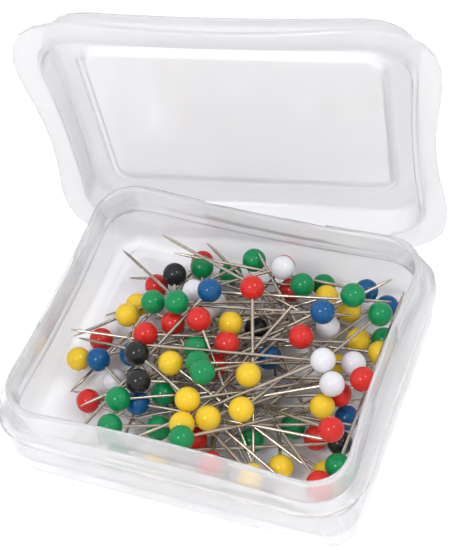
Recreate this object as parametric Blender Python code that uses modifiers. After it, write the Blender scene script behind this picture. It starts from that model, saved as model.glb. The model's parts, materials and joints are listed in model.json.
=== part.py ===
import math

import bmesh
import bpy
import numpy as np
from mathutils import Vector

# Driving dimensions in metres: box tray
base_half_x = 0.03186
base_half_y = 0.02707
base_corner = 0.0052
wall = 0.0011
wall_draft = 0.0005
floor_thickness = 0.0011
recess_depth = 0.0006
recess_inset = 0.0026
flange_width = 0.00223
flange_corner = 0.01135
flange_bow = 0.02
flange_thickness = 0.0011
flange_top = 0.0128
upstand_height = 0.0054
upstand_wall = 0.0013
upstand_corner = 0.0091
upstand_bow = 0.05
strip_depth = 0.0004
strip_long = 0.0235
strip_short = 0.0155
upstand_step = 0.00017
edge_round = 0.0003
base_round = 0.0009
rim_round = 0.0005
floor_round = 0.0020

# Lift-off lid
lid_clearance = 0.00035
lid_wall = 0.0009
lid_top = 0.0010
lid_headroom = 0.0003
lid_flange_thickness = 0.0011
lobe_reach = 0.0031
lobe_corner = 0.020
lobe_bow = 0.185
panel_half_x = 0.0265
panel_half_y = 0.0188
panel_corner = 0.0033
panel_rise = 0.0016
lid_yaw = 11.0
lid_lean = 6.0
lid_gap = 0.0003
lid_shift = 0.0010

# Label under the floor
label_thickness = 0.0002
label_gap = 0.0003
label_margin = 0.0014
label_corner = 0.0035

# Ball-head pins
pin_length = 0.038
head_diameter = 0.0044
shaft_diameter = 0.0006
bore_depth = 0.0024
point_length = 0.0022
gap = 0.0003

# Steps of the curves, and where a rounding passes at 45 degrees
corner_steps = 8
side_steps = 6
head_steps = 12
head_profile_steps = 7
shaft_steps = 6
mid_round = 0.29

# How the pins find their seats
level_step = head_diameter / 11
head_level_count = 26
tip_level_count = 30
sink_step = head_diameter / 44
sink_turns = 400
slide_turns = 12
seat_turns = (0, 5, -5, 10, -10, 16, -16, 24, -24, 34, -34)

colours = {
    "red": (0.730, 0.023, 0.018),
    "yellow": (0.970, 0.700, 0.032),
    "green": (0.003, 0.305, 0.098),
    "blue": (0.0, 0.080, 0.283),
    "white": (0.830, 0.830, 0.900),
    "black": (0.021, 0.021, 0.023),
}

# Head place in the cavity (share of the half width and half depth),
# heading of the shaft in degrees, head colour.
lying_pins = [
    (-0.70, -0.50, -8, "red"),
    (-0.60, -0.25, 62, "white"),
    (-0.54, -0.12, -34, "blue"),
    (-0.78, -0.02, 28, "red"),
    (-0.62, 0.10, -48, "yellow"),
    (-0.60, 0.52, -20, "red"),
    (-0.36, 0.72, -68, "green"),
    (-0.20, 0.80, -12, "green"),
    (0.13, 0.90, -112, "red"),
    (0.38, 0.84, -160, "green"),
    (0.80, 0.82, -152, "blue"),
    (0.84, 0.50, 172, "green"),
    (0.60, 0.62, -136, "yellow"),
    (0.62, 0.32, 150, "yellow"),
    (0.74, -0.10, -170, "red"),
    (0.66, -0.36, 128, "red"),
    (0.78, -0.60, 160, "yellow"),
    (0.55, -0.68, 112, "yellow"),
    (0.10, -0.66, 40, "red"),
    (-0.18, -0.66, 66, "green"),
    (-0.40, -0.82, 22, "green"),
    (-0.22, -0.42, 8, "green"),
    (0.44, -0.88, 148, "yellow"),
    (0.90, -0.88, 140, "red"),
    (0.03, 0.09, 47, "red"),
    (-0.14, -0.30, -14, "yellow"),
]
top_pins = [
    (-0.30, 0.42, 10, "white"),
    (0.76, 0.14, -163, "white"),
]
top_head_level = 0.0106
top_tip_level = 0.0090

recess_top = recess_depth
floor_top = recess_depth + floor_thickness
rim_top = flange_top + upstand_height
upper_half_x = base_half_x + upstand_step
upper_half_y = base_half_y + upstand_step
head_radius = head_diameter / 2
shaft_radius = shaft_diameter / 2


def clear_scene():
    for thing in list(bpy.data.objects):
        bpy.data.objects.remove(thing, do_unlink=True)
    for group in list(bpy.data.collections):
        bpy.data.collections.remove(group)


def make_collection(name, hidden):
    group = bpy.data.collections.new(name)
    group.hide_render = hidden
    bpy.context.scene.collection.children.link(group)
    return group


def make_material(name, colour, roughness, metallic, transmission=0.0):
    material = bpy.data.materials.new(name)
    material.use_nodes = True
    shader = material.node_tree.nodes["Principled BSDF"]
    shader.inputs["Base Color"].default_value = (*colour, 1.0)
    shader.inputs["Roughness"].default_value = roughness
    shader.inputs["Metallic"].default_value = metallic
    shader.inputs["Transmission Weight"].default_value = transmission
    return material


def rounded_outline(half_x, half_y, corner, bow):
    """Closed rounded rectangle whose sides bow inward by a share of the half size."""
    points = []
    for quadrant in range(4):
        sign_x = (1, -1, -1, 1)[quadrant]
        sign_y = (1, 1, -1, -1)[quadrant]
        centre_x = sign_x * (half_x - corner)
        centre_y = sign_y * (half_y - corner)
        for step in range(corner_steps + 1):
            angle = math.radians(90 * quadrant + 90 * step / corner_steps)
            points.append((centre_x + corner * math.cos(angle), centre_y + corner * math.sin(angle)))
        along_x = quadrant % 2 == 0
        span = 2 * (half_x - corner) if along_x else 2 * (half_y - corner)
        last_x, last_y = points[-1]
        for step in range(1, side_steps):
            move = span * step / side_steps
            if along_x:
                points.append((last_x - sign_x * move, last_y))
            else:
                points.append((last_x, last_y - sign_y * move))
    bowed = []
    for x, y in points:
        pull_x = 1 - bow * (1 - min(1.0, (y / half_y) ** 2))
        pull_y = 1 - bow * (1 - min(1.0, (x / half_x) ** 2))
        bowed.append((x * pull_x, y * pull_y))
    return bowed


def scaled_outline(half_x, half_y, corner, bow):
    """The same outline, stretched so that its extents are the half sizes again."""
    points = rounded_outline(half_x, half_y, corner, bow)
    reach_x = max(x for x, y in points)
    reach_y = max(y for x, y in points)
    return [(x * half_x / reach_x, y * half_y / reach_y) for x, y in points]


def loft(name, rings, material, group, smooth_angle=35.0):
    """Body through a list of (outline, height) rings, capped at both ends."""
    mesh = bpy.data.meshes.new(name)
    shell = bmesh.new()
    loops = []
    for outline, height in rings:
        loops.append([shell.verts.new((x, y, height)) for x, y in outline])
    count = len(loops[0])
    for lower, upper in zip(loops, loops[1:]):
        for index in range(count):
            after = (index + 1) % count
            shell.faces.new((lower[index], lower[after], upper[after], upper[index]))
    shell.faces.new(list(reversed(loops[0])))
    shell.faces.new(loops[-1])
    bmesh.ops.recalc_face_normals(shell, faces=shell.faces)
    bmesh.ops.triangulate(shell, faces=[face for face in shell.faces if len(face.verts) > 4])
    shell.to_mesh(mesh)
    shell.free()
    return place_mesh(name, mesh, material, group, smooth_angle)


def place_mesh(name, mesh, material, group, smooth_angle):
    mesh.materials.append(material)
    thing = bpy.data.objects.new(name, mesh)
    group.objects.link(thing)
    mesh.shade_smooth()
    mesh.set_sharp_from_angle(angle=math.radians(smooth_angle))
    return thing


def ring(half_x, half_y, corner, bow, height):
    return (rounded_outline(half_x, half_y, corner, bow), height)


def base_ring(grow, height):
    """Ring of the lower wall, moved outward by grow."""
    return ring(base_half_x + grow, base_half_y + grow, base_corner + grow, 0.0, height)


def flange_ring(grow, height):
    half_x = base_half_x + flange_width + grow
    half_y = base_half_y + flange_width + grow
    return ring(half_x, half_y, flange_corner + grow, flange_bow, height)


def upstand_ring(grow, height):
    half_x = upper_half_x + grow
    half_y = upper_half_y + grow
    return ring(half_x, half_y, upstand_corner + grow, upstand_bow, height)


def build_box(material, group, cutters):
    under = flange_top - flange_thickness
    inset = recess_inset
    inner = -wall
    rings = [
        base_ring(-inset - edge_round, recess_top),
        base_ring(-inset, 0.0),
        base_ring(-base_round, 0.0),
        base_ring(-base_round * mid_round, base_round * mid_round),
        base_ring(0.0, base_round),
        base_ring(wall_draft * 0.5, under * 0.5),
        base_ring(wall_draft, under - edge_round),
        base_ring(wall_draft + edge_round, under),
        flange_ring(-edge_round, under),
        flange_ring(0.0, under + edge_round),
        flange_ring(0.0, flange_top - edge_round),
        flange_ring(-edge_round, flange_top),
        upstand_ring(edge_round, flange_top),
        upstand_ring(0.0, flange_top + edge_round),
        upstand_ring(0.0, rim_top - rim_round),
        upstand_ring(-rim_round * mid_round, rim_top - rim_round * mid_round),
        upstand_ring(-rim_round, rim_top),
        upstand_ring(-upstand_wall + rim_round, rim_top),
        upstand_ring(-upstand_wall + rim_round * mid_round, rim_top - rim_round * mid_round),
        upstand_ring(-upstand_wall, rim_top - rim_round),
        upstand_ring(-upstand_wall, under + edge_round),
        base_ring(inner + wall_draft, under - edge_round),
        base_ring(inner + wall_draft * 0.4, floor_top + floor_round),
        base_ring(inner - floor_round * mid_round, floor_top + floor_round * mid_round),
        base_ring(inner - floor_round, floor_top),
    ]
    box = loft("box", rings, material, group)
    cut_strips(box, cutters)
    return box


def cut_strips(box, cutters):
    """Shallow recesses at the middle of the four sides of the upstand."""
    sides = (
        ("strip_back", 0, 1, strip_long),
        ("strip_front", 0, -1, strip_long),
        ("strip_right", 1, 0, strip_short),
        ("strip_left", -1, 0, strip_short),
    )
    for name, toward_x, toward_y, width in sides:
        thick = upstand_wall * 3
        face_x = upper_half_x * (1 - upstand_bow) - strip_depth + thick / 2
        face_y = upper_half_y * (1 - upstand_bow) - strip_depth + thick / 2
        size_x = thick if toward_x else width
        size_y = thick if toward_y else width
        low = flange_top + base_round
        high = rim_top + base_round
        cutter = make_block(name, size_x, size_y, high - low, cutters)
        cutter.location = (toward_x * face_x, toward_y * face_y, (low + high) / 2)
        cut = box.modifiers.new(name, "BOOLEAN")
        cut.operation = "DIFFERENCE"
        cut.solver = "EXACT"
        cut.object = cutter


def make_block(name, size_x, size_y, size_z, group):
    mesh = bpy.data.meshes.new(name)
    block = bmesh.new()
    bmesh.ops.create_cube(block, size=1.0)
    bmesh.ops.scale(block, vec=(size_x, size_y, size_z), verts=block.verts)
    block.to_mesh(mesh)
    block.free()
    thing = bpy.data.objects.new(name, mesh)
    thing.display_type = "WIRE"
    group.objects.link(thing)
    return thing


def lid_frame():
    """Centre of the flange plane and the lid's own axes, leaning on the tray's back wall."""
    yaw = math.radians(lid_yaw)
    lean = math.radians(lid_lean)
    across = Vector((math.cos(yaw), math.sin(yaw), 0.0))
    back = Vector((-math.sin(yaw), math.cos(yaw), 0.0))
    upright = Vector((0.0, 0.0, 1.0))
    outline = base_ring(wall_draft * 0.5, 0.0)[0]
    reach = max(x * back.x + y * back.y for x, y in outline)
    inner_y = upper_half_y + lid_clearance
    lobe_y = inner_y + lid_wall + lobe_reach
    height = lobe_y * math.cos(lean)
    behind = reach + lid_gap - math.sin(lean) * inner_y
    centre = across * lid_shift + back * behind + upright * height
    up = upright * math.cos(lean) - back * math.sin(lean)
    deeper = back * math.cos(lean) + upright * math.sin(lean)
    return centre, across, up, deeper


def build_lid(material, group):
    """Moulded in its own frame, then stood on edge with the hollow toward the box."""
    inner_x = upper_half_x + lid_clearance
    inner_y = upper_half_y + lid_clearance
    inner_corner = upstand_corner + lid_clearance
    outer_x = inner_x + lid_wall
    outer_y = inner_y + lid_wall
    depth = upstand_height + lid_headroom
    total = depth + lid_top

    def skirt(grow, height):
        sized = rounded_outline(inner_x + grow, inner_y + grow, inner_corner + grow, upstand_bow)
        return (sized, total - height)

    def lobes(grow, height):
        half_x = outer_x + lobe_reach + grow
        half_y = outer_y + lobe_reach + grow
        return (scaled_outline(half_x, half_y, lobe_corner + grow, lobe_bow), total - height)

    def panel(grow, height):
        half_x = panel_half_x + grow
        half_y = panel_half_y + grow
        return (rounded_outline(half_x, half_y, panel_corner + grow, 0.0), total - height)

    inside = total - lid_top
    rings = [
        panel(-lid_top, total - panel_rise),
        panel(-lid_top + edge_round, total - panel_rise + edge_round * 0.3),
        panel(-edge_round, total - edge_round * 0.7),
        panel(0.0, total),
        skirt(lid_wall - base_round, total),
        skirt(lid_wall - base_round * mid_round, total - base_round * mid_round),
        skirt(lid_wall, total - base_round),
        skirt(lid_wall, lid_flange_thickness + edge_round),
        skirt(lid_wall + edge_round, lid_flange_thickness),
        lobes(-edge_round, lid_flange_thickness),
        lobes(0.0, lid_flange_thickness - edge_round),
        lobes(0.0, edge_round),
        lobes(-edge_round, 0.0),
        skirt(edge_round, 0.0),
        skirt(0.0, edge_round),
        skirt(-edge_round * 0.3, inside - base_round),
        skirt(-base_round, inside),
        panel(lid_top + edge_round, inside),
        panel(lid_top - edge_round * 0.5, inside - edge_round),
        panel(edge_round * 0.5, inside - panel_rise + edge_round),
        panel(-edge_round, inside - panel_rise),
    ]
    lid = loft("lid", rings, material, group)
    centre, across, up, deeper = lid_frame()
    for vertex in lid.data.vertices:
        x, y, z = vertex.co
        vertex.co = centre + across * x + up * y + deeper * (total - z)
    set_origin(lid, Vector((centre.x, centre.y, 0.0)))
    turn_outward(lid.data)
    return lid


def turn_outward(mesh):
    shell = bmesh.new()
    shell.from_mesh(mesh)
    bmesh.ops.recalc_face_normals(shell, faces=shell.faces)
    shell.to_mesh(mesh)
    shell.free()


def set_origin(thing, place):
    for vertex in thing.data.vertices:
        vertex.co = vertex.co - place
    thing.location = place


def build_label(material, group):
    low = recess_top - label_gap - label_thickness
    grow = -recess_inset - label_margin
    half_x = base_half_x + grow
    half_y = base_half_y + grow
    outline = rounded_outline(half_x, half_y, label_corner, 0.0)
    rings = [(outline, low), (outline, low + label_thickness)]
    return loft("base_label", rings, material, group)


def closest_gap(first_a, first_b, other_a, other_b):
    """Shortest distance between segments, for arrays of first against arrays of other."""
    d1 = first_b - first_a
    d2 = other_b - other_a
    between = first_a - other_a
    a = np.sum(d1 * d1, axis=-1)
    e = np.sum(d2 * d2, axis=-1)
    f = np.sum(d2 * between, axis=-1)
    c = np.sum(d1 * between, axis=-1)
    b = np.sum(d1 * d2, axis=-1)
    spread = np.maximum(a * e - b * b, 1e-18)
    s = np.clip((b * f - c * e) / spread, 0.0, 1.0)
    t = np.clip((b * s + f) / e, 0.0, 1.0)
    s = np.clip((b * t - c) / a, 0.0, 1.0)
    near_first = first_a + d1 * s[..., None]
    near_other = other_a + d2 * t[..., None]
    return np.linalg.norm(near_first - near_other, axis=-1)


def point_gap(point, start, end):
    line = end - start
    share = np.sum((point - start) * line, axis=-1) / np.sum(line * line, axis=-1)
    share = np.clip(share, 0.0, 1.0)
    return np.linalg.norm(point - start - line * share[..., None], axis=-1)


def free_of(heads, tips, others):
    """True for each candidate pin that keeps the gap to every pin already placed."""
    if not others:
        return np.ones(len(heads), dtype=bool)
    other_heads = np.array([pin[0] for pin in others])[None, :, :]
    other_tips = np.array([pin[1] for pin in others])[None, :, :]
    head = heads[:, None, :]
    tip = tips[:, None, :]
    room = np.linalg.norm(head - other_heads, axis=-1) - 2 * head_radius
    free = room.min(axis=1) >= gap
    room = point_gap(head, other_heads, other_tips) - head_radius - shaft_radius
    free &= room.min(axis=1) >= gap
    room = point_gap(other_heads, head, tip) - head_radius - shaft_radius
    free &= room.min(axis=1) >= gap
    room = closest_gap(head, tip, other_heads, other_tips) - 2 * shaft_radius
    free &= room.min(axis=1) >= gap
    return free


def fit_inside(point, margin):
    """Move a plan point inside the narrowest outline of the cavity."""
    limit_x = upper_half_x * (1 - upstand_bow) - upstand_wall - margin
    limit_y = upper_half_y * (1 - upstand_bow) - upstand_wall - margin
    x = min(max(point[0], -limit_x), limit_x)
    y = min(max(point[1], -limit_y), limit_y)
    round_off = upstand_corner
    over_x = abs(x) - (limit_x + margin - round_off)
    over_y = abs(y) - (limit_y + margin - round_off)
    reach = round_off - margin
    if over_x > 0 and over_y > 0 and math.hypot(over_x, over_y) > reach:
        shrink = reach / math.hypot(over_x, over_y)
        x -= math.copysign(over_x * (1 - shrink), x)
        y -= math.copysign(over_y * (1 - shrink), y)
    return (x, y)


def plan_pin(share_x, share_y, heading, span):
    """Plan places of head centre and tip, both kept inside the walls."""
    reach_x = upper_half_x - upstand_wall
    reach_y = upper_half_y - upstand_wall
    head = fit_inside((share_x * reach_x, share_y * reach_y), head_radius + gap)
    angle = math.radians(heading)
    step = (math.cos(angle) * span, math.sin(angle) * span)
    for attempt in range(slide_turns):
        tip = (head[0] + step[0], head[1] + step[1])
        kept = fit_inside(tip, shaft_radius + gap)
        slip = (kept[0] - tip[0], kept[1] - tip[1])
        if math.hypot(*slip) < 1e-6:
            break
        head = fit_inside((head[0] + slip[0], head[1] + slip[1]), head_radius + gap)
    return head, (head[0] + step[0], head[1] + step[1])


def seat_pin(share_x, share_y, heading, others, least_head, least_tip):
    """Lowest place for a pin that keeps the gap to the floor and to every other pin."""
    reach = pin_length - head_radius
    low_head = max(floor_top + gap + head_radius, least_head)
    low_tip = max(floor_top + gap + shaft_radius, least_tip)
    head_levels = low_head + np.arange(0, head_level_count) * level_step
    tip_levels = low_tip + np.arange(0, tip_level_count) * level_step
    pairs = [(h, t) for h in head_levels for t in tip_levels]
    pairs.sort(key=lambda pair: (round(pair[0] + pair[1], 6), pair[0]))
    levels = np.array(pairs)
    for turn in seat_turns:
        head, tip = plan_pin(share_x, share_y, heading + turn, reach)
        flat = np.array([tip[0] - head[0], tip[1] - head[1]]) / reach
        rise = levels[:, 1] - levels[:, 0]
        span = np.sqrt(reach ** 2 - rise ** 2)
        heads = np.column_stack([np.full(len(levels), head[0]), np.full(len(levels), head[1]), levels[:, 0]])
        tips = np.column_stack([head[0] + flat[0] * span, head[1] + flat[1] * span, levels[:, 1]])
        free = free_of(heads, tips, others)
        if free.any():
            best = int(np.argmax(free))
            return heads[best], tips[best]
    return None


def lower_pin(seat, others):
    """Let a pin of the top layer sink until both its ends rest on the pins below."""
    reach = pin_length - head_radius
    head, tip = seat
    flat = (tip[:2] - head[:2]) / np.linalg.norm(tip[:2] - head[:2])
    least = floor_top + gap + head_radius
    for turn in range(sink_turns):
        for drop_head, drop_tip in ((1, 1), (1, 0), (0, 1)):
            level_head = head[2] - drop_head * sink_step
            level_tip = tip[2] - drop_tip * sink_step
            span = math.sqrt(reach ** 2 - (level_tip - level_head) ** 2)
            new_head = np.array([head[0], head[1], level_head])
            new_tip = np.array([head[0] + flat[0] * span, head[1] + flat[1] * span, level_tip])
            if min(level_head, level_tip) > least and free_of(new_head[None], new_tip[None], others)[0]:
                head, tip = new_head, new_tip
                break
        else:
            break
    return head, tip


def place_along(thing, head, tip):
    """Put the head centre at the origin of the object and its -Z along the shaft."""
    along = np.array(head) - np.array(tip)
    along = along / np.linalg.norm(along)
    yaw = math.atan2(along[1], along[0])
    tilt = math.acos(max(-1.0, min(1.0, along[2])))
    thing.rotation_mode = "XYZ"
    thing.rotation_euler = (0.0, tilt, yaw)
    thing.location = [float(value) for value in head]


def revolve(name, profile, steps):
    """Screw a profile of (radius, height) points about Z and keep the mesh."""
    mesh = bpy.data.meshes.new(name)
    line = bmesh.new()
    verts = [line.verts.new((radius, 0.0, height)) for radius, height in profile]
    for start, end in zip(verts, verts[1:]):
        line.edges.new((start, end))
    line.to_mesh(mesh)
    line.free()
    holder = bpy.data.objects.new(name + "_turning", mesh)
    bpy.context.scene.collection.objects.link(holder)
    screw = holder.modifiers.new("Screw", "SCREW")
    screw.steps = steps
    screw.render_steps = steps
    screw.use_merge_vertices = True
    screw.merge_threshold = 0.00001
    bpy.context.view_layer.update()
    solid = bpy.data.meshes.new_from_object(holder.evaluated_get(bpy.context.evaluated_depsgraph_get()))
    solid.name = name
    bpy.data.objects.remove(holder, do_unlink=True)
    turn_outward(solid)
    return solid


def head_mesh():
    """Ball with a blind bore from below."""
    bore = shaft_radius + gap
    mouth = -math.sqrt(head_radius ** 2 - bore ** 2)
    profile = [(0.0, head_radius)]
    start = math.atan2(head_radius, 0.0)
    end = math.atan2(mouth, bore)
    for step in range(1, head_profile_steps + 1):
        angle = start + (end - start) * step / head_profile_steps
        profile.append((head_radius * math.cos(angle), head_radius * math.sin(angle)))
    profile.append((bore, mouth + bore_depth))
    profile.append((0.0, mouth + bore_depth))
    return revolve("pin_head", profile, head_steps)


def shaft_mesh():
    """Wire from inside the bore down to a tapered point."""
    bore = shaft_radius + gap
    top = -math.sqrt(head_radius ** 2 - bore ** 2) + bore_depth - gap
    tip = -(pin_length - head_radius) - shaft_radius
    profile = [
        (0.0, top),
        (shaft_radius, top),
        (shaft_radius, tip + point_length),
        (shaft_radius * 0.45, tip + point_length * 0.3),
        (0.0, tip),
    ]
    return revolve("pin_shaft", profile, shaft_steps)


def add_pin(name, seat, meshes, materials, colour, group):
    head_shape = meshes[0].copy()
    head_shape.name = name + "_head"
    head = place_mesh(name + "_head", head_shape, materials[colour], group, 50.0)
    shaft_shape = meshes[1].copy()
    shaft_shape.name = name + "_shaft"
    shaft = place_mesh(name + "_shaft", shaft_shape, materials["steel"], group, 50.0)
    place_along(head, seat[0], seat[1])
    place_along(shaft, seat[0], seat[1])


def build_pins(materials, group):
    meshes = (head_mesh(), shaft_mesh())
    seats = []
    for number, (share_x, share_y, heading, colour) in enumerate(lying_pins, start=1):
        seat = seat_pin(share_x, share_y, heading, seats, 0.0, 0.0)
        seats.append(seat)
        add_pin(f"pin_{number:02d}", seat, meshes, materials, colour, group)
    for number, row in enumerate(top_pins, start=1):
        share_x, share_y, heading, colour = row
        seat = seat_pin(share_x, share_y, heading, seats, top_head_level, top_tip_level)
        seat = lower_pin(seat, seats)
        seats.append(seat)
        add_pin(f"top_pin_{number}", seat, meshes, materials, colour, group)
    return seats


def build_materials():
    plastic = (0.80, 0.80, 0.82)
    materials = {
        "box": make_material("box_plastic", plastic, 0.22, 0.0, 0.7),
        "lid": make_material("lid_plastic", plastic, 0.24, 0.0, 0.7),
        "label": make_material("label_paper", (0.66, 0.64, 0.65), 0.75, 0.0),
        "steel": make_material("pin_steel", (0.62, 0.60, 0.57), 0.22, 1.0),
    }
    for name, colour in colours.items():
        materials[name] = make_material("head_" + name, colour, 0.15, 0.0)
    return materials


def common_middle(group):
    """Middle of the box around all pieces, in plan."""
    corners = []
    for thing in group.objects:
        corners += [thing.matrix_world @ vertex.co for vertex in thing.data.vertices]
    middle_x = (min(c.x for c in corners) + max(c.x for c in corners)) / 2
    middle_y = (min(c.y for c in corners) + max(c.y for c in corners)) / 2
    return middle_x, middle_y


def main():
    clear_scene()
    group = make_collection("pin_box", False)
    cutters = make_collection("pin_box_cutters", True)
    materials = build_materials()
    build_box(materials["box"], group, cutters)
    build_lid(materials["lid"], group)
    build_label(materials["label"], group)
    build_pins(materials, group)
    bpy.context.view_layer.update()
    middle_x, middle_y = common_middle(group)
    for thing in list(group.objects) + list(cutters.objects):
        thing.location.x -= middle_x
        thing.location.y -= middle_y
    bpy.context.view_layer.update()


main()
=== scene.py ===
import json
import math

import bmesh
import bpy
import numpy as np
from mathutils import Matrix, Vector


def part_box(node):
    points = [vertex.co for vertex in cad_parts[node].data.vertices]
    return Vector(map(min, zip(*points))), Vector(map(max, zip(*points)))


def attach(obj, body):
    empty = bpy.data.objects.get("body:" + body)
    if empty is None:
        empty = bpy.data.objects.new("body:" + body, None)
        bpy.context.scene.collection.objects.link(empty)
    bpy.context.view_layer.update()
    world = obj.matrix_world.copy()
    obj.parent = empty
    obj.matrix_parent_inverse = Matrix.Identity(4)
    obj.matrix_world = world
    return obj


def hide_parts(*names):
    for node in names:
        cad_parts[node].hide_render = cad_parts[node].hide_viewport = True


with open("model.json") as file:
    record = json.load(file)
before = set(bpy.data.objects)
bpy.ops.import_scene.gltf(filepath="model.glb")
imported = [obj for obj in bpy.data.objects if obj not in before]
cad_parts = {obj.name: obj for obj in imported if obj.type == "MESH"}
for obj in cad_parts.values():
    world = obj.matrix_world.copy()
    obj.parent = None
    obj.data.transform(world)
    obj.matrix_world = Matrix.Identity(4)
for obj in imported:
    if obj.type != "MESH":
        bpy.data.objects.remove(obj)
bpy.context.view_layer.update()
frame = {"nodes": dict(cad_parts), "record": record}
mm = 0.001
tiny = 1e-18  # keeps a division away from zero

trayLow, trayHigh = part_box("box")
trayMiddle = Vector(((trayLow.x + trayHigh.x) / 2, (trayLow.y + trayHigh.y) / 2, 0.0))

# camera, seen from the tray's middle
cameraLook = {
    "azimuth": 28.6,
    "elevation": 51.3,
    "roll": -10.9,
    "distance": 308.6 * mm,
    "target": Vector((-8.4, 23.4, 0.0)) * mm,
    "lens": 127.2,
    "sensor": 36.0,
    "near": 0.01,
    "far": 10.0,
}


def addCamera(look):
    turn = math.radians(look["azimuth"])
    rise = math.radians(look["elevation"])
    roll = math.radians(look["roll"])
    ahead = Vector((-math.cos(rise) * math.sin(turn), math.cos(rise) * math.cos(turn), -math.sin(rise)))
    side = ahead.cross(Vector((0, 0, 1))).normalized()
    top = side.cross(ahead)
    right = side * math.cos(roll) + top * math.sin(roll)
    up = top * math.cos(roll) - side * math.sin(roll)
    lens = bpy.data.cameras.new("camera")
    lens.lens = look["lens"]
    lens.sensor_width = look["sensor"]
    lens.sensor_fit = "HORIZONTAL"
    lens.clip_start = look["near"]
    lens.clip_end = look["far"]
    holder = bpy.data.objects.new("camera", lens)
    bpy.context.scene.collection.objects.link(holder)
    place = trayMiddle + look["target"] - ahead * look["distance"]
    holder.matrix_world = Matrix.Translation(place) @ Matrix((right, up, -ahead)).transposed().to_4x4()
    bpy.context.scene.camera = holder


addCamera(cameraLook)
print("camera set")


# helpers for shaping
def makeActive(thing):
    for other in list(bpy.context.selected_objects):
        other.select_set(False)
    thing.select_set(True)
    bpy.context.view_layer.objects.active = thing


# faces are chosen by their centre and normal
def pickFaces(thing, rule):
    bpy.ops.object.mode_set(mode="EDIT")
    bpy.ops.mesh.select_mode(type="FACE")
    bpy.ops.mesh.select_all(action="DESELECT")
    mesh = bmesh.from_edit_mesh(thing.data)
    for face in mesh.faces:
        face.select = rule(face.calc_center_median(), face.normal)
    mesh.select_flush(True)
    bmesh.update_edit_mesh(thing.data)


def finishEdit():
    bpy.ops.mesh.select_all(action="SELECT")
    bpy.ops.mesh.normals_make_consistent(inside=False)
    bpy.ops.object.mode_set(mode="OBJECT")


shellLook = {"weld": 0.000002, "smoothAngle": 32}


def smoothCopy(node, name, look):
    mesh = frame["nodes"][node].data.copy()
    copy = bpy.data.objects.new(name, mesh)
    bpy.context.scene.collection.objects.link(copy)
    makeActive(copy)
    bpy.ops.object.mode_set(mode="EDIT")
    bpy.ops.mesh.select_all(action="SELECT")
    bpy.ops.mesh.remove_doubles(threshold=look["weld"])
    bpy.ops.mesh.normals_make_consistent(inside=False)
    bpy.ops.object.mode_set(mode="OBJECT")
    bpy.ops.object.shade_smooth_by_angle(angle=math.radians(look["smoothAngle"]))
    weighted = copy.modifiers.new("weighted", "WEIGHTED_NORMAL")
    weighted.keep_sharp = True
    bpy.ops.object.modifier_apply(modifier=weighted.name)
    return copy


# node groups that several finishes share
def startGroup(name, inputs, outputs):
    group = bpy.data.node_groups.new(name, "ShaderNodeTree")
    for label, value in inputs.items():
        kind = "NodeSocketVector" if label == "Vector" else "NodeSocketFloat"
        socket = group.interface.new_socket(label, in_out="INPUT", socket_type=kind)
        if value is not None:
            socket.default_value = value
    for label, kind in outputs.items():
        group.interface.new_socket(label, in_out="OUTPUT", socket_type=kind)
    return group, group.nodes.new("NodeGroupInput"), group.nodes.new("NodeGroupOutput")


wearSpread = {"low": 0.3, "high": 0.7, "fineFactor": 6.0}


def buildSurfaceWear(spread):
    inputs = {"Vector": None, "Scale": 400.0, "Low": 0.1, "High": 0.2, "Detail": 6.0}
    outputs = {"Roughness": "NodeSocketFloat", "Height": "NodeSocketFloat"}
    group, entry, out = startGroup("surfaceWear", inputs, outputs)
    noise = group.nodes.new("ShaderNodeTexNoise")
    span = group.nodes.new("ShaderNodeMapRange")
    fine = group.nodes.new("ShaderNodeTexNoise")
    more = group.nodes.new("ShaderNodeMath")
    more.operation = "MULTIPLY"
    more.inputs[1].default_value = spread["fineFactor"]
    link = group.links.new
    link(entry.outputs["Vector"], noise.inputs["Vector"])
    link(entry.outputs["Scale"], noise.inputs["Scale"])
    link(entry.outputs["Detail"], noise.inputs["Detail"])
    link(noise.outputs["Fac"], span.inputs["Value"])
    link(entry.outputs["Low"], span.inputs["To Min"])
    link(entry.outputs["High"], span.inputs["To Max"])
    span.inputs["From Min"].default_value = spread["low"]
    span.inputs["From Max"].default_value = spread["high"]
    link(entry.outputs["Scale"], more.inputs[0])
    link(entry.outputs["Vector"], fine.inputs["Vector"])
    link(more.outputs[0], fine.inputs["Scale"])
    link(span.outputs[0], out.inputs["Roughness"])
    link(fine.outputs["Fac"], out.inputs["Height"])
    return group


scratchSpread = {"turn": (0.5, 0.2, 0.7), "detail": 3.0, "full": 0.8}


def buildScratches(spread):
    inputs = {"Vector": None, "Scale": 60.0, "Stretch": 30.0, "Share": 0.62}
    group, entry, out = startGroup("fineScratches", inputs, {"Mask": "NodeSocketFloat"})
    link = group.links.new
    turned = group.nodes.new("ShaderNodeMapping")
    turned.inputs["Rotation"].default_value = spread["turn"]
    split = group.nodes.new("ShaderNodeSeparateXYZ")
    longer = group.nodes.new("ShaderNodeMath")
    longer.operation = "MULTIPLY"
    joined = group.nodes.new("ShaderNodeCombineXYZ")
    noise = group.nodes.new("ShaderNodeTexNoise")
    noise.inputs["Detail"].default_value = spread["detail"]
    edge = group.nodes.new("ShaderNodeMapRange")
    link(entry.outputs["Vector"], turned.inputs["Vector"])
    link(turned.outputs[0], split.inputs[0])
    link(split.outputs["Y"], longer.inputs[0])
    link(entry.outputs["Stretch"], longer.inputs[1])
    link(split.outputs["X"], joined.inputs["X"])
    link(longer.outputs[0], joined.inputs["Y"])
    link(split.outputs["Z"], joined.inputs["Z"])
    link(joined.outputs[0], noise.inputs["Vector"])
    link(entry.outputs["Scale"], noise.inputs["Scale"])
    link(noise.outputs["Fac"], edge.inputs["Value"])
    link(entry.outputs["Share"], edge.inputs["From Min"])
    edge.inputs["From Max"].default_value = spread["full"]
    link(edge.outputs[0], out.inputs["Mask"])
    return group


surfaceWear = buildSurfaceWear(wearSpread)
fineScratches = buildScratches(scratchSpread)


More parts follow.
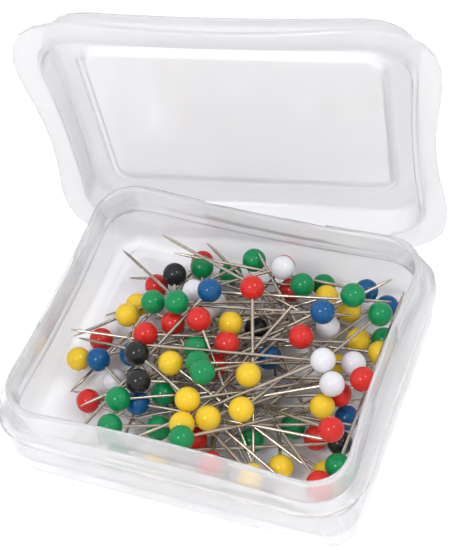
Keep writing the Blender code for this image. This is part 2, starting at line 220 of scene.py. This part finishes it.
def startMaterial(name):
    material = bpy.data.materials.new(name)
    material.use_nodes = True
    nodes = material.node_tree.nodes
    return material, nodes, material.node_tree.links.new, nodes["Principled BSDF"], nodes["Material Output"]


def placeGroup(nodes, link, group, coords, values):
    node = nodes.new("ShaderNodeGroup")
    node.node_tree = group
    link(coords, node.inputs["Vector"])
    for label, value in values.items():
        node.inputs[label].default_value = value
    return node


def addNoise(nodes, link, coords, values):
    noise = nodes.new("ShaderNodeTexNoise")
    for label, value in values.items():
        noise.inputs[label].default_value = value
    link(coords, noise.inputs["Vector"])
    return noise.outputs["Fac"]


def mixColours(nodes, link, factor, first, second):
    mix = nodes.new("ShaderNodeMix")
    mix.data_type = "RGBA"
    mix.inputs["A"].default_value = first
    mix.inputs["B"].default_value = second
    link(factor, mix.inputs["Factor"])
    return mix


def addBump(nodes, link, height, shader, strength, distance):
    bump = nodes.new("ShaderNodeBump")
    bump.inputs["Strength"].default_value = strength
    bump.inputs["Distance"].default_value = distance
    link(height, bump.inputs["Height"])
    link(bump.outputs[0], shader.inputs["Normal"])


# clear moulded plastic of tray and lid; its edge colour is painted shade that darkens the walls seen
# edge-on
plasticLook = {
    "tint": (0.976, 0.974, 0.984, 1.0),
    "milk": (0.930, 0.926, 0.941, 1.0),
    # edge: painted shade, the darker colour where a wall is seen edge-on
    "edge": (0.730, 0.730, 0.785, 1.0),
    "facingBlend": 0.5,
    "edgeFrom": 0.50,
    "edgeTo": 1.0,
    "cloud": {"Scale": 35.0, "Detail": 4.0},
    "wear": {"Scale": 90.0, "Low": 0.12, "High": 0.22, "Detail": 5.0},
    "scratch": {"Scale": 55.0, "Stretch": 26.0, "Share": 0.64},
    "scratchRoughness": 0.03,
    "ior": 1.20,
    "transmission": 0.70,
    "coat": 0.6,
    "coatRoughness": 0.07,
    "ripple": 0.25,
    "rippleDepth": 0.00004,
    "shadow": (0.95, 0.95, 0.96, 1.0),
}

# the lid: a darker copy of the same plastic; its lower tint, milk and edge colours are painted shade
lidShadedLook = dict(
    plasticLook,
    tint=(0.935, 0.932, 0.950, 1.0),
    milk=(0.895, 0.891, 0.912, 1.0),
    edge=(0.640, 0.640, 0.700, 1.0),
    transmission=0.56,
)


def buildPlastic(name, look):
    material, nodes, link, shader, out = startMaterial(name)
    coords = nodes.new("ShaderNodeTexCoord").outputs["Object"]
    wear = placeGroup(nodes, link, surfaceWear, coords, look["wear"])
    scratch = placeGroup(nodes, link, fineScratches, coords, look["scratch"])
    cloud = addNoise(nodes, link, coords, look["cloud"])
    tint = mixColours(nodes, link, cloud, look["tint"], look["milk"])
    # painted edge shade: Layer Weight's Facing darkens the colour towards edge-on view
    facing = nodes.new("ShaderNodeLayerWeight")
    facing.inputs["Blend"].default_value = look["facingBlend"]
    paintedEdgeShade = nodes.new("ShaderNodeMapRange")
    paintedEdgeShade.inputs["From Min"].default_value = look["edgeFrom"]
    paintedEdgeShade.inputs["From Max"].default_value = look["edgeTo"]
    link(facing.outputs["Facing"], paintedEdgeShade.inputs["Value"])
    shade = mixColours(nodes, link, paintedEdgeShade.outputs[0], look["tint"], look["edge"])
    link(tint.outputs["Result"], shade.inputs["A"])
    link(shade.outputs["Result"], shader.inputs["Base Color"])
    rough = nodes.new("ShaderNodeMath")
    rough.operation = "MULTIPLY_ADD"
    link(scratch.outputs["Mask"], rough.inputs[0])
    rough.inputs[1].default_value = look["scratchRoughness"]
    link(wear.outputs["Roughness"], rough.inputs[2])
    link(rough.outputs[0], shader.inputs["Roughness"])
    shader.inputs["IOR"].default_value = look["ior"]
    shader.inputs["Transmission Weight"].default_value = look["transmission"]
    shader.inputs["Coat Weight"].default_value = look["coat"]
    shader.inputs["Coat Roughness"].default_value = look["coatRoughness"]
    addBump(nodes, link, cloud, shader, look["ripple"], look["rippleDepth"])
    path = nodes.new("ShaderNodeLightPath")
    clear = nodes.new("ShaderNodeBsdfTransparent")
    clear.inputs["Color"].default_value = look["shadow"]
    mix = nodes.new("ShaderNodeMixShader")
    link(path.outputs["Is Shadow Ray"], mix.inputs[0])
    link(shader.outputs[0], mix.inputs[1])
    link(clear.outputs[0], mix.inputs[2])
    link(mix.outputs[0], out.inputs["Surface"])
    return material


# glossy ball heads
headColours = {
    "red": (0.740, 0.026, 0.020),
    "yellow": (0.960, 0.640, 0.030),
    "green": (0.002, 0.285, 0.090),
    "blue": (0.004, 0.105, 0.300),
    "white": (0.880, 0.880, 0.940),
    "black": (0.018, 0.018, 0.020),
}
headLook = {
    "deepShare": 0.80,
    "tone": {"Scale": 260.0},
    "wear": {"Scale": 420.0, "Low": 0.06, "High": 0.17, "Detail": 3.0},
    "ior": 1.40,
    "bump": 0.12,
    "bumpDepth": 0.00002,
}


def buildHeadFinish(colour, look):
    material, nodes, link, shader, out = startMaterial("head_" + colour)
    coords = nodes.new("ShaderNodeTexCoord").outputs["Object"]
    wear = placeGroup(nodes, link, surfaceWear, coords, look["wear"])
    base = Vector(headColours[colour])
    deep = base * look["deepShare"]
    tone = addNoise(nodes, link, coords, look["tone"])
    mix = mixColours(nodes, link, tone, (*base, 1.0), (*deep, 1.0))
    link(mix.outputs["Result"], shader.inputs["Base Color"])
    link(wear.outputs["Roughness"], shader.inputs["Roughness"])
    shader.inputs["IOR"].default_value = look["ior"]
    addBump(nodes, link, wear.outputs["Height"], shader, look["bump"], look["bumpDepth"])
    return material


# polished, plated wire
steelLook = {
    "bright": (0.62, 0.565, 0.49, 1.0),
    "dull": (0.33, 0.285, 0.235, 1.0),
    "tone": {"Scale": 500.0},
    "wear": {"Scale": 900.0, "Low": 0.14, "High": 0.30, "Detail": 4.0},
    "metallic": 1.0,
    "bump": 0.15,
    "bumpDepth": 0.00001,
}


def buildSteel(look):
    material, nodes, link, shader, out = startMaterial("pin_steel")
    coords = nodes.new("ShaderNodeTexCoord").outputs["Object"]
    wear = placeGroup(nodes, link, surfaceWear, coords, look["wear"])
    tone = addNoise(nodes, link, coords, look["tone"])
    mix = mixColours(nodes, link, tone, look["bright"], look["dull"])
    link(mix.outputs["Result"], shader.inputs["Base Color"])
    link(wear.outputs["Roughness"], shader.inputs["Roughness"])
    shader.inputs["Metallic"].default_value = look["metallic"]
    addBump(nodes, link, wear.outputs["Height"], shader, look["bump"], look["bumpDepth"])
    return material


# bare paper under the floor
paperLook = {
    "light": (0.82, 0.805, 0.815, 1.0),
    "dark": (0.76, 0.742, 0.754, 1.0),
    "wear": {"Scale": 700.0, "Low": 0.62, "High": 0.82, "Detail": 8.0},
    "bump": 0.4,
    "bumpDepth": 0.00003,
}


def buildPaper(look):
    material, nodes, link, shader, out = startMaterial("label_paper")
    coords = nodes.new("ShaderNodeTexCoord").outputs["Object"]
    wear = placeGroup(nodes, link, surfaceWear, coords, look["wear"])
    mix = mixColours(nodes, link, wear.outputs["Height"], look["light"], look["dark"])
    link(mix.outputs["Result"], shader.inputs["Base Color"])
    link(wear.outputs["Roughness"], shader.inputs["Roughness"])
    addBump(nodes, link, wear.outputs["Height"], shader, look["bump"], look["bumpDepth"])
    return material


trayPlastic = buildPlastic("box_plastic", plasticLook)
# the lid's plastic, darkened by painted shade
lidShadedPlastic = buildPlastic("lid_plastic", lidShadedLook)
headFinish = {colour: buildHeadFinish(colour, headLook) for colour in headColours}
steel = buildSteel(steelLook)
paper = buildPaper(paperLook)
print("materials made")


def dress(thing, material, body):
    thing.data.materials.clear()
    thing.data.materials.append(material)
    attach(thing, body)


# tray and lid: the moulded shells, smoothed over their small roundings
tray = smoothCopy("box", "trayShell", shellLook)
dress(tray, trayPlastic, "tray")
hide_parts("box")
lid = smoothCopy("lid", "lidShell", shellLook)
dress(lid, lidShadedPlastic, "lid")
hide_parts("lid")
label = frame["nodes"]["base_label"]
label.data.materials.clear()
label.data.materials.append(paper)
print("tray, lid and label dressed")


# pins: the wire stands along z under the head, whose centre is at the origin
pinLook = {
    "length": 38.0 * mm,
    "headRadius": 2.2 * mm,
    "headSegments": 24,
    "headRings": 16,
    "headSmooth": 50,
    "dimpleFrom": 0.975,
    "dimpleRim": 0.00008,
    "dimpleDepth": 0.00045,
    "socketDepth": 0.9 * mm,
    "shaftRadius": 0.3 * mm,
    "shaftSides": 10,
    "shaftSmooth": 40,
    "pointLength": 2.6 * mm,
    # one pair per ring: share of the point's length, share of the wire's radius
    "pointRings": ((0.45, 0.78), (0.75, 0.55), (0.97, 0.25)),
    "downward": -0.9,
    "gap": 0.03 * mm,
    "floor": 1.7 * mm,
    "nearMargin": 0.0002,
    "liftStep": 0.0008,
    "liftSteps": 13,
}


def modelHead(look):
    radius = look["headRadius"]
    bpy.ops.mesh.primitive_uv_sphere_add(
        segments=look["headSegments"], ring_count=look["headRings"], radius=radius, location=(0, 0, 0))
    head = bpy.context.object
    makeActive(head)
    pickFaces(head, lambda centre, normal: centre.z < -radius * look["dimpleFrom"])
    bpy.ops.mesh.inset(thickness=look["dimpleRim"])
    bpy.ops.transform.translate(value=(0, 0, look["dimpleDepth"]))
    finishEdit()
    bpy.ops.object.shade_smooth_by_angle(angle=math.radians(look["headSmooth"]))
    return head


def modelShaft(look):
    radius = look["shaftRadius"]
    top = -look["headRadius"] + look["socketDepth"]
    end = -(look["length"] - look["headRadius"]) - radius
    neck = end + look["pointLength"]
    bpy.ops.mesh.primitive_cylinder_add(
        vertices=look["shaftSides"], radius=radius, depth=top - neck, location=(0, 0, (top + neck) / 2))
    shaft = bpy.context.object
    makeActive(shaft)
    bpy.ops.object.transform_apply(location=True, rotation=True, scale=True)
    for share, width in look["pointRings"]:
        pickFaces(shaft, lambda centre, normal: normal.z < look["downward"])
        bottom = min(vertex.co.z for vertex in bmesh.from_edit_mesh(shaft.data).verts)
        goal = neck - look["pointLength"] * share
        bpy.ops.mesh.extrude_region_move(TRANSFORM_OT_translate={"value": (0, 0, goal - bottom)})
        mesh = bmesh.from_edit_mesh(shaft.data)
        for vertex in mesh.verts:
            if vertex.select:
                reach = math.hypot(vertex.co.x, vertex.co.y)
                vertex.co.x *= radius * width / reach
                vertex.co.y *= radius * width / reach
        bmesh.update_edit_mesh(shaft.data)
        bpy.ops.object.mode_set(mode="OBJECT")
    bpy.ops.object.mode_set(mode="EDIT")
    finishEdit()
    bpy.ops.object.shade_smooth_by_angle(angle=math.radians(look["shaftSmooth"]))
    return shaft


headPattern = modelHead(pinLook)
shaftPattern = modelShaft(pinLook)


def poseMatrix(head, tip):
    along = (Vector(head) - Vector(tip)).normalized()
    return Matrix.Translation(Vector(head)) @ along.to_track_quat("Z", "Y").to_matrix().to_4x4()


def placeCopy(pattern, name, matrix, material, body):
    piece = bpy.data.objects.new(name, pattern.data.copy())
    bpy.context.scene.collection.objects.link(piece)
    piece.data.transform(matrix)
    dress(piece, material, body)
    return piece


# head centre and tip, from the solids' own corners
def readCadPin(name):
    shaft = np.array([vertex.co for vertex in frame["nodes"][name + "_shaft"].data.vertices])
    head = np.array([vertex.co for vertex in frame["nodes"][name + "_head"].data.vertices])
    middle = (head.min(axis=0) + head.max(axis=0)) / 2
    away = np.linalg.norm(shaft - middle, axis=1)
    tip = shaft[away.argmax()]
    near = shaft[away < away.min() + pinLook["nearMargin"]]
    along = near.mean(axis=0) - tip
    along /= np.linalg.norm(along)
    centre = tip + along * (pinLook["length"] - pinLook["headRadius"] + pinLook["shaftRadius"])
    return centre, centre - along * (pinLook["length"] - pinLook["headRadius"])


record = frame["record"]
nodeSlots = {row["node"]: row["material_slot"] for row in record["subparts"]}
bodyOfNode = {node: body for body, nodes in record["behaviour"]["bodies"].items() for node in nodes}
pinNames = sorted(name.removesuffix("_head") for name in frame["nodes"] if name.endswith("_head"))
placed = []
lifted = []  # the room that the top pins need on their way up
for name in pinNames:
    centre, tip = readCadPin(name)
    placed.append((centre, tip))
    colour = nodeSlots[name + "_head"].replace("head_", "")
    body = bodyOfNode[name + "_head"]
    matrix = poseMatrix(centre, tip)
    ball = placeCopy(headPattern, name + "_ball", matrix, headFinish[colour], body)
    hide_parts(name + "_head")
    wire = placeCopy(shaftPattern, name + "_wire", matrix, steel, body)
    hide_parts(name + "_shaft")
    if name.startswith("top_pin"):
        for step in range(1, pinLook["liftSteps"] + 1):
            rise = np.array((0, 0, pinLook["liftStep"] * step))
            lifted.append((centre + rise, tip + rise))
print("pins of the frame dressed:", len(placed))

# the rest of the heap: colour, place of the head from the tray's middle in mm, heading of the wire
# in degrees; the place is where the camera sees the head, taken at the sight level
heapRows = {
    "hidden": [
        ("white", 8.6, 13.4, -60), ("red", 4.2, 17.4, -100), ("yellow", 21.6, 11.2, -168),
        ("blue", 6.0, 3.4, -20), ("white", -9.0, -5.4, 40), ("red", 12.8, -5.4, 140),
        ("green", 16.2, -9.2, 158), ("white", -6.2, 12.2, -40), ("black", 5.2, 10.2, -66),
        ("yellow", 13.2, 19.0, -140), ("blue", 24.6, -5.0, 150), ("green", 10.2, -13.2, 100),
        ("red", -9.8, 22.2, -36), ("yellow", -20.2, 8.2, -14), ("blue", 21.2, 22.2, -150),
        ("red", 26.2, -3.2, 165), ("yellow", 26.2, 11.0, -172), ("blue", -20.4, -6.6, 20),
        ("yellow", 15.2, 16.2, -120),
    ],
    "upper": [
        ("green", -4.6, -1.1, 24), ("green", -3.1, -3.4, 70), ("green", -4.7, 1.8, 47),
        ("red", 1.1, 2.9, 54), ("yellow", 3.7, -1.1, 64), ("yellow", 6.3, -8.3, 57),
        ("yellow", 1.3, -11.6, 44), ("yellow", -2.7, -14.0, 60), ("red", -7.9, 6.7, -20),
        ("yellow", -4.0, 7.3, -34), ("red", -12.2, 6.0, -4), ("white", -7.9, 11.0, -24),
        ("green", -12.6, 10.7, -6), ("green", -2.6, 23.7, -62), ("white", 1.1, 22.0, -50),
        ("yellow", -2.9, -8.9, 60),
    ],
    "edge": [
        ("black", -11.3, -1.8, 24), ("green", -11.4, -21.6, 60), ("yellow", -4.2, -22.0, 34),
        ("red", 3.6, -20.2, 118), ("blue", 7.0, -20.9, 62), ("green", -1.8, -17.4, 84),
        ("black", -15.3, 16.7, -30), ("blue", -10.4, 16.3, -8), ("green", -2.8, 21.2, -75),
        ("green", 8.0, 21.9, -128), ("green", 15.6, 22.0, -165), ("red", -2.2, 17.5, -72),
        ("red", -16.9, 2.4, 20), ("yellow", -18.5, 0.8, 6), ("black", -16.2, -1.3, -18),
        ("black", -14.3, -7.6, 12), ("green", -15.7, -12.2, 26), ("blue", -9.9, -10.6, 52),
        ("green", 23.7, 17.8, -142), ("white", 15.5, 12.6, -178), ("white", 17.9, 2.4, 150),
        ("yellow", 19.8, -2.5, 176), ("red", 20.6, -6.6, 146), ("black", 23.6, -10.2, 162),
        ("yellow", 12.6, -0.2, -150), ("red", 25.6, 3.4, 158), ("yellow", 25.7, 6.2, -166),
        ("white", 16.9, 5.4, -166), ("blue", 12.1, 15.6, -116), ("red", 13.6, 7.9, -170),
        ("blue", 9.8, 8.0, -148), ("green", 9.5, 6.1, -160), ("green", 26.0, -14.6, 150),
        ("white", -21.6, 4.6, 2), ("red", -2.4, 13.6, -40), ("blue", 19.6, 8.6, -176),
        ("green", -17.6, 9.6, -18), ("red", 20.4, 21.6, -140), ("yellow", -24.0, -4.6, 8),
        ("black", 9.4, -21.8, 80),
    ],
}
levelRange = {
    "hidden": (3.0 * mm, 7.6 * mm),
    "upper": (8.5 * mm, 18.0 * mm),
    "edge": (3.0 * mm, 16.5 * mm),
}
sightLevel = 6.0 * mm
trayRoom = {"halfX": 29.2 * mm, "halfY": 24.6 * mm, "corner": 7.8 * mm}


def insideRoom(point, margin):
    x, y = abs(point[0] - trayMiddle.x), abs(point[1] - trayMiddle.y)
    corner = trayRoom["corner"]
    overX, overY = x - (trayRoom["halfX"] - corner), y - (trayRoom["halfY"] - corner)
    if overX > 0 and overY > 0:
        return math.hypot(overX, overY) <= corner - margin
    return max(overX, overY) <= corner - margin


# smallest distance between two straight pieces
def segmentGap(startA, endA, startB, endB):
    lineA, lineB, between = endA - startA, endB - startB, startA - startB
    squareA, squareB = np.sum(lineA * lineA, -1), np.sum(lineB * lineB, -1)
    alongA, alongB = np.sum(lineA * between, -1), np.sum(lineB * between, -1)
    both = np.sum(lineA * lineB, -1)
    spread = np.maximum(squareA * squareB - both * both, tiny)
    shareA = np.clip((both * alongB - alongA * squareB) / spread, 0, 1)
    shareB = np.clip((both * shareA + alongB) / squareB, 0, 1)
    shareA = np.clip((both * shareB - alongA) / squareA, 0, 1)
    return np.linalg.norm(startA + lineA * shareA[..., None] - startB - lineB * shareB[..., None], axis=-1)


def pointGap(point, start, end):
    line = end - start
    share = np.clip(np.sum((point - start) * line, -1) / np.sum(line * line, -1), 0, 1)
    return np.linalg.norm(point - start - line * share[..., None], axis=-1)


def freeHeads(heads, others):
    ballRadius, wireRadius, gap = pinLook["headRadius"], pinLook["shaftRadius"], pinLook["gap"]
    otherHeads = np.array([pin[0] for pin in others])[None]
    otherTips = np.array([pin[1] for pin in others])[None]
    head = heads[:, None]
    free = (np.linalg.norm(head - otherHeads, axis=-1) - 2 * ballRadius).min(1) >= gap
    return free & ((pointGap(head, otherHeads, otherTips) - ballRadius - wireRadius).min(1) >= gap)


def freeWires(heads, tips, others):
    ballRadius, wireRadius, gap = pinLook["headRadius"], pinLook["shaftRadius"], pinLook["gap"]
    otherHeads = np.array([pin[0] for pin in others])[None]
    otherTips = np.array([pin[1] for pin in others])[None]
    head, tip = heads[:, None], tips[:, None]
    free = (pointGap(otherHeads, head, tip) - ballRadius - wireRadius).min(1) >= gap
    return free & ((segmentGap(head, tip, otherHeads, otherTips) - 2 * wireRadius).min(1) >= gap)


# how a free seat is looked for: levels and margins in metres, turns in degrees, a shift in mm
searchLook = {
    "levelStep": 0.0005,
    "headLevels": 28,
    "tipLevels": 26,
    "headsTried": 9,
    "turnSteps": (5, 10, 16, 23, 31, 40, 50, 62, 76, 92, 110, 130, 150, 170),
    "shift": 0.7,
    "shiftSteps": (
        (0, 0), (1, 0), (-1, 0), (0, 1), (0, -1), (2, 0), (-2, 0), (0, 2), (0, -2),
        (3, 2), (-3, 2), (3, -2), (-3, -2),
    ),
    "headMargin": 0.0002,
    "tipMargin": 0.0004,
    "draftLevel": 0.011,
    "draftShare": 0.5,
    "headCost": 1.2,
    "turnCost": 0.00008,
    "shiftCost": 0.001,
    "goodCost": 0.026,
}


# a tip stays further from the wall the higher it lies
def tipMargin(level):
    return searchLook["tipMargin"] + max(level - searchLook["draftLevel"], 0.0) * searchLook["draftShare"]


# the head keeps its place in the picture while it rises; the lowest free pair of head and tip is taken
def seatPin(x, y, heading, levelSpan, others):
    search = searchLook
    reach = pinLook["length"] - pinLook["headRadius"]
    rest = pinLook["floor"] + pinLook["gap"]
    headLevels = rest + pinLook["headRadius"] + np.arange(search["headLevels"]) * search["levelStep"]
    headLevels = headLevels[(headLevels >= levelSpan[0]) & (headLevels <= levelSpan[1])]
    tipLevels = rest + pinLook["shaftRadius"] + np.arange(search["tipLevels"]) * search["levelStep"]
    eye = np.array(bpy.context.scene.camera.location)
    turns = [0] + [side * step for step in search["turnSteps"] for side in (1, -1)]
    best = None
    for aside, along in search["shiftSteps"]:
        markX = trayMiddle.x + (x + aside * search["shift"]) * mm
        markY = trayMiddle.y + (y + along * search["shift"]) * mm
        mark = np.array((markX, markY, sightLevel))
        heads = eye + (mark - eye) * ((headLevels - eye[2]) / (mark[2] - eye[2]))[:, None]
        heads = heads[[insideRoom(head, pinLook["headRadius"] + search["headMargin"]) for head in heads]]
        if not len(heads):
            continue
        heads = heads[freeHeads(heads, others)][:search["headsTried"]]
        if not len(heads):
            continue
        for turn in turns:
            angle = math.radians(heading + turn)
            ahead = np.array((math.cos(angle), math.sin(angle)))
            head = np.repeat(heads, len(tipLevels), axis=0)
            level = np.tile(tipLevels, len(heads))
            span = np.sqrt(reach ** 2 - (level - head[:, 2]) ** 2)
            tip = np.column_stack([head[:, 0] + ahead[0] * span, head[:, 1] + ahead[1] * span, level])
            inside = np.array([insideRoom(point, tipMargin(point[2])) for point in tip])
            if not inside.any():
                continue
            head, tip = head[inside], tip[inside]
            free = freeWires(head, tip, others)
            if not free.any():
                continue
            head, tip = head[free], tip[free]
            cost = head[:, 2] * search["headCost"] + tip[:, 2] + abs(turn) * search["turnCost"]
            cost = cost + (abs(aside) + abs(along)) * search["shiftCost"]
            pick = int(np.argmin(cost))
            if best is None or cost[pick] < best[0]:
                best = (cost[pick], head[pick], tip[pick])
        if best is not None and best[0] < search["goodCost"]:
            break
    return best and best[1:]


left = 0
for group, rows in heapRows.items():
    for colour, x, y, heading in rows:
        seat = seatPin(x, y, heading, levelRange[group], placed + lifted)
        if seat is None:
            left += 1
            print("no room for", colour, x, y, heading)
            continue
        placed.append(seat)
        matrix = poseMatrix(*seat)
        name = f"heap_{len(placed):03d}"
        placeCopy(headPattern, name + "_ball", matrix, headFinish[colour], "tray")
        placeCopy(shaftPattern, name + "_wire", matrix, steel, "tray")
for pattern in (headPattern, shaftPattern):
    bpy.data.objects.remove(pattern, do_unlink=True)
highest = max(pin[0][2] for pin in placed) / mm
print("heap filled:", len(placed), "pins,", left, "left out, highest head", round(highest, 1), "mm")

# studio: pale floor, plain soft light
studioLook = {
    "floorSize": 3.0,
    "floorLevel": -0.0001,
    "floorColour": (0.93, 0.93, 0.93, 1.0),
    "floorRoughness": 0.9,
    "floorGlow": 0.10,
    "worldStrength": 0.86,
    "whiteStrength": 1.0,
}


def buildFloor(look):
    bpy.ops.mesh.primitive_plane_add(size=look["floorSize"], location=(0, 0, look["floorLevel"]))
    floor = bpy.context.object
    floor.name = "floor"
    material, nodes, link, shader, out = startMaterial("floorWhite")
    shader.inputs["Base Color"].default_value = look["floorColour"]
    shader.inputs["Roughness"].default_value = look["floorRoughness"]
    shader.inputs["Specular IOR Level"].default_value = 0.0
    shader.inputs["Emission Color"].default_value = (1.0, 1.0, 1.0, 1.0)
    shader.inputs["Emission Strength"].default_value = look["floorGlow"]
    floor.data.materials.append(material)


def buildWorld(look):
    world = bpy.data.worlds.new("studio")
    bpy.context.scene.world = world
    world.use_nodes = True
    nodes, link = world.node_tree.nodes, world.node_tree.links.new
    background = nodes["Background"]
    path = nodes.new("ShaderNodeLightPath")
    either = nodes.new("ShaderNodeMath")
    either.operation = "MAXIMUM"
    seen = nodes.new("ShaderNodeMath")
    seen.operation = "MAXIMUM"
    level = nodes.new("ShaderNodeMapRange")
    level.inputs["To Min"].default_value = look["worldStrength"]
    level.inputs["To Max"].default_value = look["whiteStrength"]
    link(path.outputs["Is Camera Ray"], either.inputs[0])
    link(path.outputs["Is Glossy Ray"], either.inputs[1])
    link(either.outputs[0], seen.inputs[0])
    link(path.outputs["Is Transmission Ray"], seen.inputs[1])
    link(seen.outputs[0], level.inputs["Value"])
    link(level.outputs[0], background.inputs["Strength"])
    background.inputs["Color"].default_value = (1.0, 1.0, 1.0, 1.0)


lampRows = [
    {"name": "mainLamp", "place": (-0.10, -0.42, 0.62), "size": 0.16, "energy": 1.30},
    {"name": "fillLamp", "place": (0.34, 0.02, 0.60), "size": 0.12, "energy": 0.60},
]
lampAim = Vector((0.0, 0.01, 0.01))


def addLamp(row):
    lamp = bpy.data.lights.new(row["name"], "AREA")
    lamp.energy = row["energy"]
    lamp.size = row["size"]
    holder = bpy.data.objects.new(row["name"], lamp)
    bpy.context.scene.collection.objects.link(holder)
    place = trayMiddle + Vector(row["place"])
    aim = (trayMiddle + lampAim - place).to_track_quat("-Z", "Y")
    holder.matrix_world = Matrix.Translation(place) @ aim.to_matrix().to_4x4()


buildFloor(studioLook)
buildWorld(studioLook)
for row in lampRows:
    addLamp(row)
bpy.context.scene.view_settings.view_transform = "Standard"
print("studio lit")
